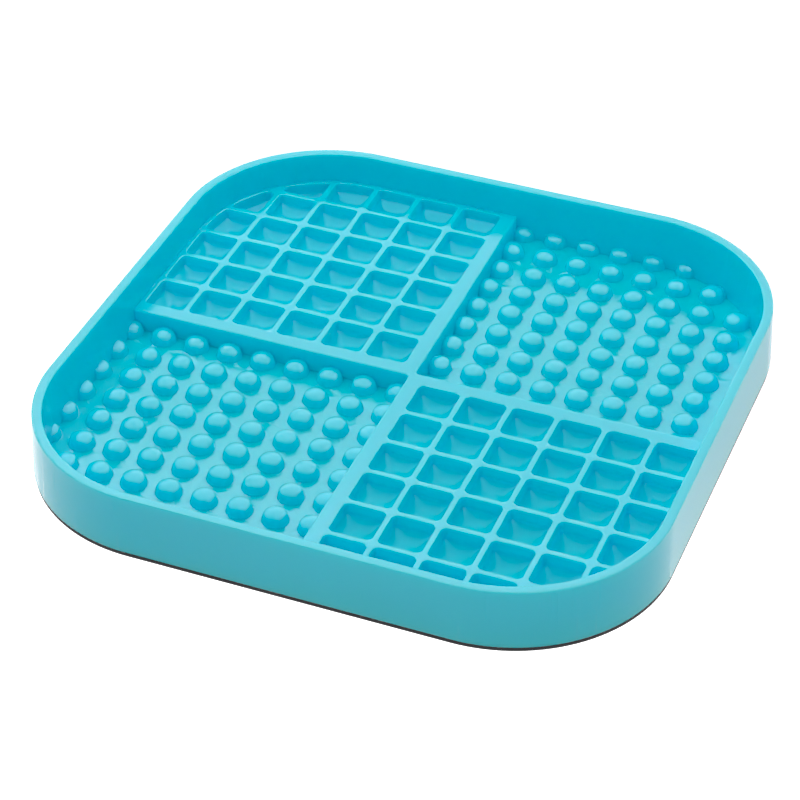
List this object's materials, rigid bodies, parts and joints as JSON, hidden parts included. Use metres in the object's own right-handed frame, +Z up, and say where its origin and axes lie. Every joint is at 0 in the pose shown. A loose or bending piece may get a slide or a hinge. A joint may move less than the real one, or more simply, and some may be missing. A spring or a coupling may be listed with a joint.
{
  "type": "slow feeder tray",
  "caption": "Square soft slow feeder tray with rounded corners and a raised rim, waffle pockets and round nubs in opposite quarters, on a thin non-slip base.",
  "frame": {"origin": "middle of the underside of the non-slip base, on the table", "axes": "+Z up out of the open top, +X to the right and +Y to the back of the tray as it is seen with a waffle block at the back left"},
  "size_m": [0.2, 0.2, 0.021],
  "materials": {
    "tray": "satin moulded silicone, turquoise",
    "base": "matt dark grey non-slip rubber"
  },
  "bodies": {
    "root": {"nonslip_base": "base", "tray_floor": "tray", "rim_wall": "tray", "divider_back": "tray", "divider_left": "tray", "divider_front": "tray", "divider_right": "tray", "pocket_floor_back_left": "tray", "pocket_floor_front_right": "tray", "long_ribs_back_left": "tray", "long_ribs_front_right": "tray", "cross_ribs_back_left": "tray", "cross_ribs_front_right": "tray", "nubs_back_right": "tray", "nubs_front_left": "tray"}
  },
  "joints": []
}
